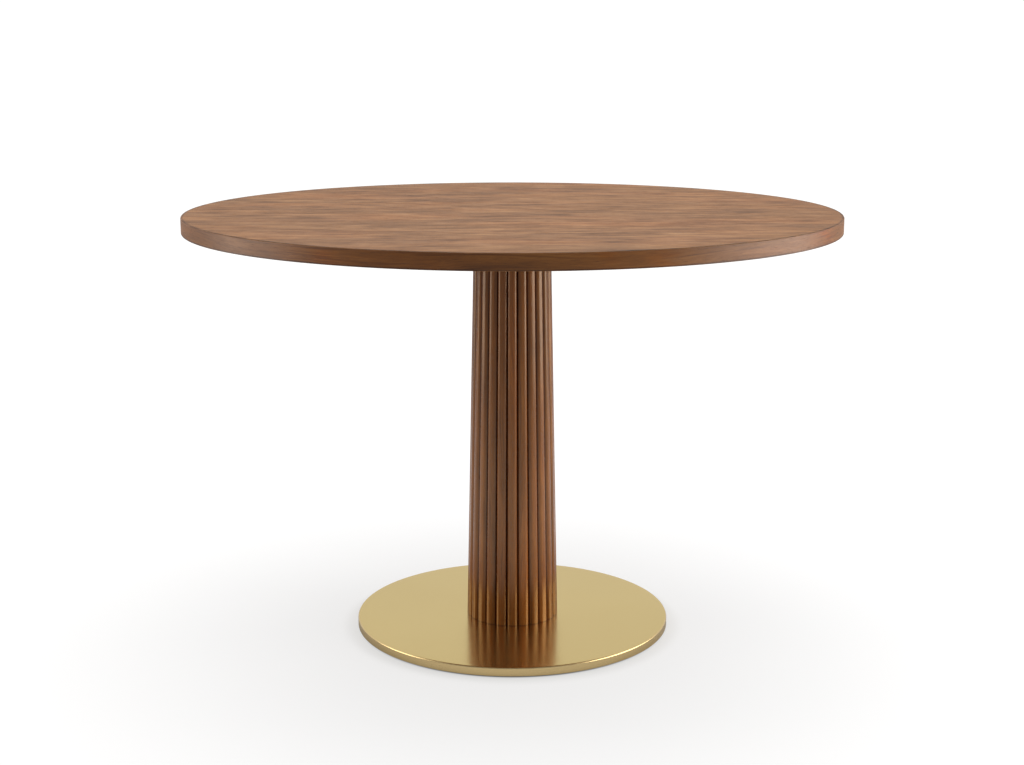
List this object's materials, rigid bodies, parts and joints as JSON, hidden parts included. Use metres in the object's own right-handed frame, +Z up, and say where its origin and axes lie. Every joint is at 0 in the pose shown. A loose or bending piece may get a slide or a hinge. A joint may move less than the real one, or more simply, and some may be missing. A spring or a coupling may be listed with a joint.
{
  "type": "tilt top table",
  "caption": "Round walnut dining table on a reeded tapered column and satin brass disc; the top tilts upright on a pivot rod and a spring catch locks it level.",
  "frame": {"origin": "on the floor, under the column's axis, which is the centre of the round top and of the base disc", "axes": "+Z up, +X to the right, front -Y; the pivot rod lies along X behind the column's axis, and the catch is in front"},
  "size_m": [1.1338, 1.134, 0.75],
  "materials": {
    "walnut_veneer": "satin lacquered walnut veneer, grain along X",
    "walnut": "satin lacquered solid walnut",
    "panel_wood": "bare plywood and turned softwood, hidden",
    "brass": "satin brushed brass",
    "brass_fittings": "polished brass fittings",
    "iron": "black painted iron weight",
    "steel": "zinc plated steel",
    "felt": "pressed wool felt"
  },
  "bodies": {
    "pedestal": {"floor_pads": "felt", "base_weight": "iron", "base_cover": "brass", "foot_screws": "steel", "column_core": "panel_wood", "foot_plug": "panel_wood", "head_plug": "panel_wood", "column_reeds": "walnut", "head_dowels": "panel_wood", "tie_rod": "steel", "tie_rod_washers": "steel", "tie_rod_nuts": "steel", "tilt_block": "walnut", "block_pads": "felt", "strike_plate": "brass_fittings", "strike_screws": "brass_fittings", "pivot_rod": "steel", "rod_lock_screws": "steel", "pivot_washers": "brass_fittings", "pivot_cap_nuts": "brass_fittings"},
    "tabletop": {"top_panel": "panel_wood", "edge_band": "walnut", "top_veneer": "walnut_veneer", "backing_veneer": "walnut_veneer", "left_bearer": "walnut", "right_bearer": "walnut", "bearer_screws": "steel", "pivot_bushes": "brass_fittings", "stop_rail": "walnut", "stop_rail_screws": "steel", "stop_felt": "felt", "catch_plate": "brass_fittings", "catch_case": "brass_fittings", "catch_screws": "brass_fittings", "catch_spring": "steel"},
    "catch_bolt": {"catch_bolt": "brass_fittings", "catch_knob": "brass_fittings"}
  },
  "joints": [
    {"name": "top_tilt", "type": "hinge", "parent": "pedestal", "child": "tabletop", "pos_m": [0, 0.068, 0.702], "axis": [-1, 0, 0], "range_deg": [0, 90]},
    {"name": "catch_slide", "type": "slide", "parent": "tabletop", "child": "catch_bolt", "axis": [0, -1, 0], "range_m": [0, 0.01], "stiffness_N_per_m": 300, "springref_m": -0.008, "deforming": ["catch_spring"]}
  ]
}
